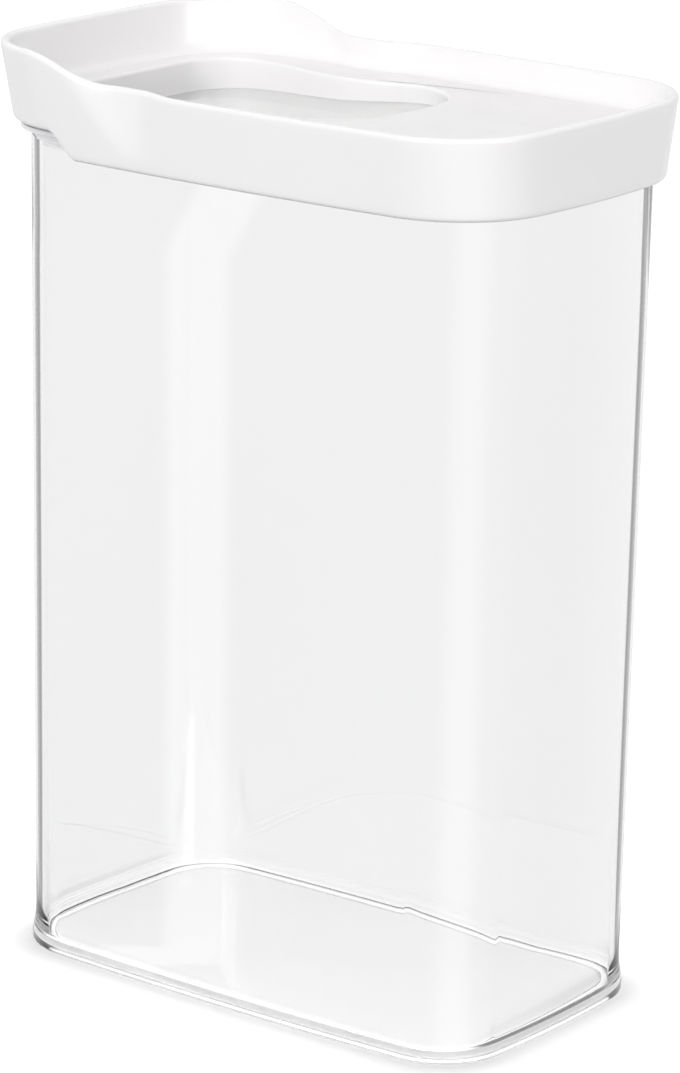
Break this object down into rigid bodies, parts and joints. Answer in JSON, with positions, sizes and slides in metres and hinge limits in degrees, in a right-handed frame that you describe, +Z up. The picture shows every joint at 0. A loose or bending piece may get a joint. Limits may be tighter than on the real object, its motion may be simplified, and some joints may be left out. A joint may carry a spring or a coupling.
{
  "type": "storage container",
  "caption": "Tall clear rectangular canister with rounded corners and a lift-off white frame lid that has a raised thumb lip, finger scallops, a sunken well with a clear window and a plug seal.",
  "frame": {"origin": "centre of the base, on the surface that the canister stands on", "axes": "+Z up, X along the length of the canister with the lid's raised thumb lip at -X, Y across the width"},
  "size_m": [0.1526, 0.1006, 0.2285],
  "materials": {
    "clear_body": "clear polished moulded plastic",
    "white_lid": "glossy white moulded plastic",
    "clear_window": "clear polished moulded plastic",
    "white_plug": "satin white moulded plastic",
    "seal": "matte translucent silicone"
  },
  "bodies": {
    "container": {"container_body": "clear_body"},
    "lid": {"lid_frame": "white_lid", "lid_window": "clear_window", "seal_carrier": "white_plug", "seal_ring": "seal"}
  },
  "joints": [
    {"name": "lid_lift", "type": "slide", "parent": "container", "child": "lid", "axis": [0, 0, 1], "range_m": [0, 0.08]}
  ]
}
